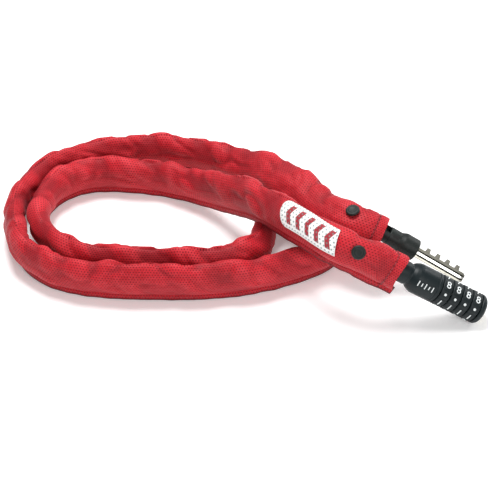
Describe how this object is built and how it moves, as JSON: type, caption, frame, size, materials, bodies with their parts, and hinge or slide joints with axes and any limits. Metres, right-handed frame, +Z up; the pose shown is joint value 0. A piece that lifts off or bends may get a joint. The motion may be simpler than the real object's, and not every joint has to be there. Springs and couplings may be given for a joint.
{
  "type": "chain lock",
  "caption": "Combination chain lock: turning number dials on a dark barrel, a toothed steel blade, and a link chain inside a long red fabric sleeve, coiled on the floor.",
  "frame": {"origin": "on the floor below the middle of the box round the lock barrel and the blade's end piece", "axes": "+Z up, +X the way the lock barrel and the blade point, +Y towards the back of the lying loop"},
  "size_m": [0.3413, 0.1887, 0.0696],
  "materials": {
    "sleeve_fabric": "soft perforated red cover fabric",
    "label_fabric": "white perforated patch",
    "dark_metal": "satin blue-black coating",
    "black_plastic": "moulded matt black",
    "bright_steel": "polished with light brushing",
    "chain_steel": "plain hardened steel",
    "brass": "plain"
  },
  "bodies": {
    "root": {"sleeve": "sleeve_fabric", "label_patch": "label_fabric", "stud_cap_1": "black_plastic", "stud_washer_1": "chain_steel", "stud_cap_2": "black_plastic", "stud_washer_2": "chain_steel", "chain_links_01": "chain_steel", "chain_links_02": "chain_steel", "chain_links_03": "chain_steel", "chain_links_04": "chain_steel", "chain_links_05": "chain_steel", "chain_links_06": "chain_steel", "chain_links_07": "chain_steel", "chain_links_08": "chain_steel", "chain_links_09": "chain_steel", "chain_links_10": "chain_steel", "chain_links_11": "chain_steel", "chain_links_12": "chain_steel", "chain_links_13": "chain_steel", "chain_links_14": "chain_steel", "chain_links_15": "chain_steel", "chain_links_16": "chain_steel", "chain_links_17": "chain_steel", "chain_links_18": "chain_steel", "chain_links_19": "chain_steel", "chain_links_20": "chain_steel", "chain_links_21": "chain_steel", "chain_links_22": "chain_steel", "chain_links_23": "chain_steel", "chain_links_24": "chain_steel", "chain_links_25": "chain_steel", "chain_links_26": "chain_steel", "chain_links_27": "chain_steel", "chain_links_28": "chain_steel", "chain_links_29": "chain_steel", "chain_links_30": "chain_steel"},
    "lock": {"lock_shell": "dark_metal", "grub_screw": "chain_steel", "spindle": "bright_steel", "end_cap": "dark_metal", "keyway_plate": "brass", "detent_spring": "bright_steel", "ejector_spring": "bright_steel", "lock_clevis_pin": "chain_steel"},
    "dial_1": {"number_ring_1": "dark_metal", "code_ring_1": "bright_steel"},
    "dial_2": {"number_ring_2": "dark_metal", "code_ring_2": "bright_steel"},
    "dial_3": {"number_ring_3": "dark_metal", "code_ring_3": "bright_steel"},
    "dial_4": {"number_ring_4": "dark_metal", "code_ring_4": "bright_steel"},
    "ejector": {"ejector_plunger": "bright_steel"},
    "pin": {"pin_cap": "black_plastic", "locking_blade": "bright_steel", "blade_rivet": "chain_steel", "pin_clevis_pin": "chain_steel"}
  },
  "joints": [
    {"name": "lock_swing", "type": "hinge", "parent": "root", "child": "lock", "pos_m": [-0.0318, -0.01425, 0.0476], "axis": [0.5039, 0.0255, 0.8634], "range_deg": [-3, 3]},
    {"name": "dial_1_turn", "type": "hinge", "parent": "lock", "child": "dial_1", "pos_m": [0.00788, -0.01725, 0.02453], "axis": [0.8627, -0.0652, -0.5015], "continuous": true},
    {"name": "dial_2_turn", "type": "hinge", "parent": "lock", "child": "dial_2", "pos_m": [0.01478, -0.01777, 0.02052], "axis": [0.8627, -0.0652, -0.5015], "continuous": true},
    {"name": "dial_3_turn", "type": "hinge", "parent": "lock", "child": "dial_3", "pos_m": [0.02168, -0.01829, 0.01651], "axis": [0.8627, -0.0652, -0.5015], "continuous": true},
    {"name": "dial_4_turn", "type": "hinge", "parent": "lock", "child": "dial_4", "pos_m": [0.02859, -0.01881, 0.01249], "axis": [0.8627, -0.0652, -0.5015], "continuous": true},
    {"name": "ejector_push", "type": "slide", "parent": "lock", "child": "ejector", "axis": [0.8627, -0.0652, -0.5015], "range_m": [-0.0025, 0], "stiffness_N_per_m": 400, "springref_m": 0.001},
    {"name": "pin_swing", "type": "hinge", "parent": "root", "child": "pin", "pos_m": [-0.03299, 0.02287, 0.04502], "axis": [0.2399, 0.9703, 0.0292], "range_deg": [-4, 4]}
  ]
}
